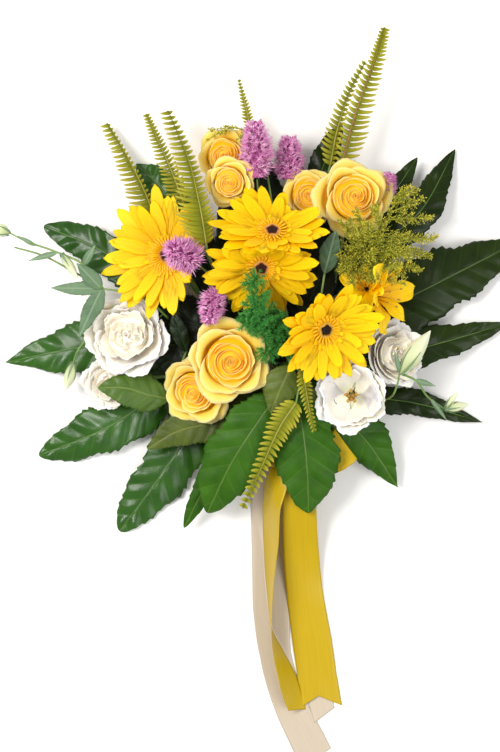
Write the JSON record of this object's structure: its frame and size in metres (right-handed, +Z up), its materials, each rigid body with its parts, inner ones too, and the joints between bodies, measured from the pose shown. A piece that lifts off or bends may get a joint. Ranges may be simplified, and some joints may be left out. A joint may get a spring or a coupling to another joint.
{
  "type": "mixed flower bouquet",
  "caption": "Hand-tied mixed flower bouquet lying on its back: gerberas, roses, lisianthus, liatris, ferns and aralia leaves, bound with satin ribbon tails.",
  "frame": {"origin": "centre of the bouquet's outline as laid down, on the resting surface", "axes": "+Z up from the surface, +Y from the ribbon tails towards the fern tips, +X to the right seen from above"},
  "size_m": [0.5338, 0.7521, 0.1382],
  "materials": {
    "gerbera_petal": "soft matt petal",
    "gerbera_eye": "velvety",
    "rose_petal": "soft matt petal",
    "lisianthus_petal": "soft matt petal",
    "yellow_tepal": "soft matt petal",
    "liatris_floret": "fluffy",
    "goldenrod_spray": "matt",
    "asparagus_fern": "matt",
    "fern_frond": "matt",
    "aralia_leaf": "glossy leaf",
    "broad_leaf": "satin leaf",
    "green_stem": "matt stem",
    "wrap_cloth": "cotton tape",
    "yellow_satin": "satin",
    "cream_satin": "satin"
  },
  "bodies": {
    "root": {"alstroemeria_bloom": "yellow_tepal", "alstroemeria_stem": "green_stem", "aralia_far": "aralia_leaf", "aralia_front": "aralia_leaf", "aralia_left": "aralia_leaf", "aralia_right": "aralia_leaf", "asparagus_fern": "asparagus_fern", "cream_ribbon": "cream_satin", "fern_far_left_inner": "fern_frond", "fern_far_left_middle": "fern_frond", "fern_far_left_outer": "fern_frond", "fern_far_right_inner": "fern_frond", "fern_far_right_outer": "fern_frond", "fern_far_top": "fern_frond", "fern_front_long": "fern_frond", "fern_front_short": "fern_frond", "gerbera_left_eye": "gerbera_eye", "gerbera_left_petals": "gerbera_petal", "gerbera_left_stem": "green_stem", "gerbera_lower_eye": "gerbera_eye", "gerbera_lower_petals": "gerbera_petal", "gerbera_lower_stem": "green_stem", "gerbera_middle_eye": "gerbera_eye", "gerbera_middle_petals": "gerbera_petal", "gerbera_middle_stem": "green_stem", "gerbera_upper_eye": "gerbera_eye", "gerbera_upper_petals": "gerbera_petal", "gerbera_upper_stem": "green_stem", "goldenrod_plume": "goldenrod_spray", "goldenrod_sprig": "goldenrod_spray", "liatris_far_middle": "liatris_floret", "liatris_far_middle_stem": "green_stem", "liatris_far_right": "liatris_floret", "liatris_far_right_stem": "green_stem", "liatris_low_left": "liatris_floret", "liatris_low_left_stem": "green_stem", "liatris_middle_left": "liatris_floret", "liatris_middle_left_stem": "green_stem", "liatris_right": "liatris_floret", "liatris_right_stem": "green_stem", "lisianthus_far_right": "lisianthus_petal", "lisianthus_left": "lisianthus_petal", "lisianthus_left_stem": "green_stem", "lisianthus_low_left": "lisianthus_petal", "lisianthus_right": "lisianthus_petal", "lisianthus_right_stem": "green_stem", "rose_big_front": "rose_petal", "rose_big_right": "rose_petal", "rose_far_left": "rose_petal", "rose_far_right": "rose_petal", "rose_far_stem": "green_stem", "rose_front_stem": "green_stem", "rose_low_front": "rose_petal", "rose_mid_left": "rose_petal", "rose_right_stem": "green_stem", "salal_left": "broad_leaf", "salal_right": "broad_leaf", "stem_wrap": "wrap_cloth", "yellow_ribbon": "yellow_satin"}
  },
  "joints": []
}
